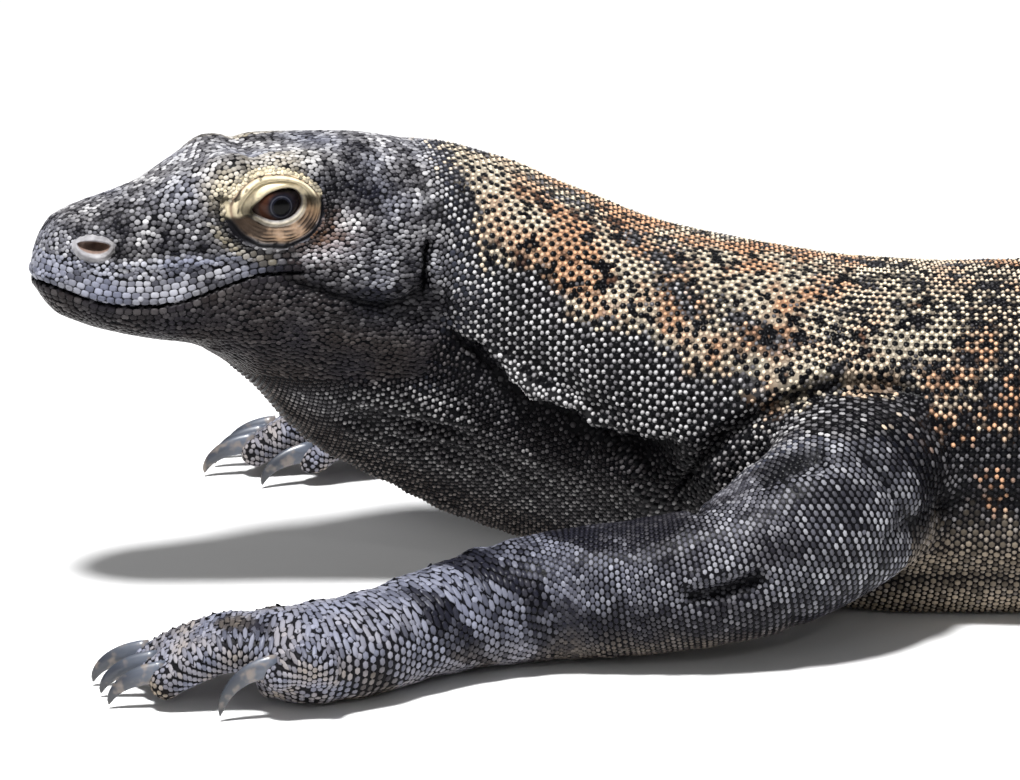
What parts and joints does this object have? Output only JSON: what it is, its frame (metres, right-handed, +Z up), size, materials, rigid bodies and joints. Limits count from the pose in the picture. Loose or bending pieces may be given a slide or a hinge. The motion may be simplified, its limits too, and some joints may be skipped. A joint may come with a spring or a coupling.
{
  "type": "komodo dragon model",
  "caption": "Life-size still model of a young adult komodo dragon resting on its belly with its head raised, forearms laid forward and tail swept back.",
  "frame": {"origin": "on the flat of the belly, halfway along the trunk, at ground level", "axes": "+X towards the tail, +Y to the animal's right, +Z up"},
  "size_m": [2.2045, 0.6402, 0.1943],
  "materials": {
    "hide_head": "satin beaded scales, blue-grey on black",
    "hide_throat": "satin fine beads, grey on brown-black",
    "hide_body": "satin beaded scales, orange and cream mottling on black",
    "hide_limbs": "satin scales in cross rows, blue-grey on black",
    "hide_tail": "satin keeled scales in rings, grey-brown on black",
    "eye": "wet and glossy, dark brown iris",
    "claw_horn": "polished horn, blue-grey to black"
  },
  "bodies": {
    "root": {"claw_foot_left_1": "claw_horn", "claw_foot_left_2": "claw_horn", "claw_foot_left_3": "claw_horn", "claw_foot_left_4": "claw_horn", "claw_foot_left_5": "claw_horn", "claw_foot_right_1": "claw_horn", "claw_foot_right_2": "claw_horn", "claw_foot_right_3": "claw_horn", "claw_foot_right_4": "claw_horn", "claw_foot_right_5": "claw_horn", "claw_hand_left_1": "claw_horn", "claw_hand_left_2": "claw_horn", "claw_hand_left_3": "claw_horn", "claw_hand_left_4": "claw_horn", "claw_hand_left_5": "claw_horn", "claw_hand_right_1": "claw_horn", "claw_hand_right_2": "claw_horn", "claw_hand_right_3": "claw_horn", "claw_hand_right_4": "claw_horn", "claw_hand_right_5": "claw_horn", "eye_left": "eye", "eye_right": "eye", "foot_left": "hide_limbs", "foot_right": "hide_limbs", "forearm_left": "hide_limbs", "forearm_right": "hide_limbs", "hand_left": "hide_limbs", "hand_right": "hide_limbs", "head": "hide_head", "lower_jaw": "hide_head", "neck": "hide_body", "shank_left": "hide_limbs", "shank_right": "hide_limbs", "tail_base": "hide_tail", "tail_end": "hide_tail", "tail_middle": "hide_tail", "thigh_left": "hide_limbs", "thigh_right": "hide_limbs", "throat": "hide_throat", "trunk_front": "hide_body", "trunk_rear": "hide_body", "upper_arm_left": "hide_limbs", "upper_arm_right": "hide_limbs"}
  },
  "joints": []
}
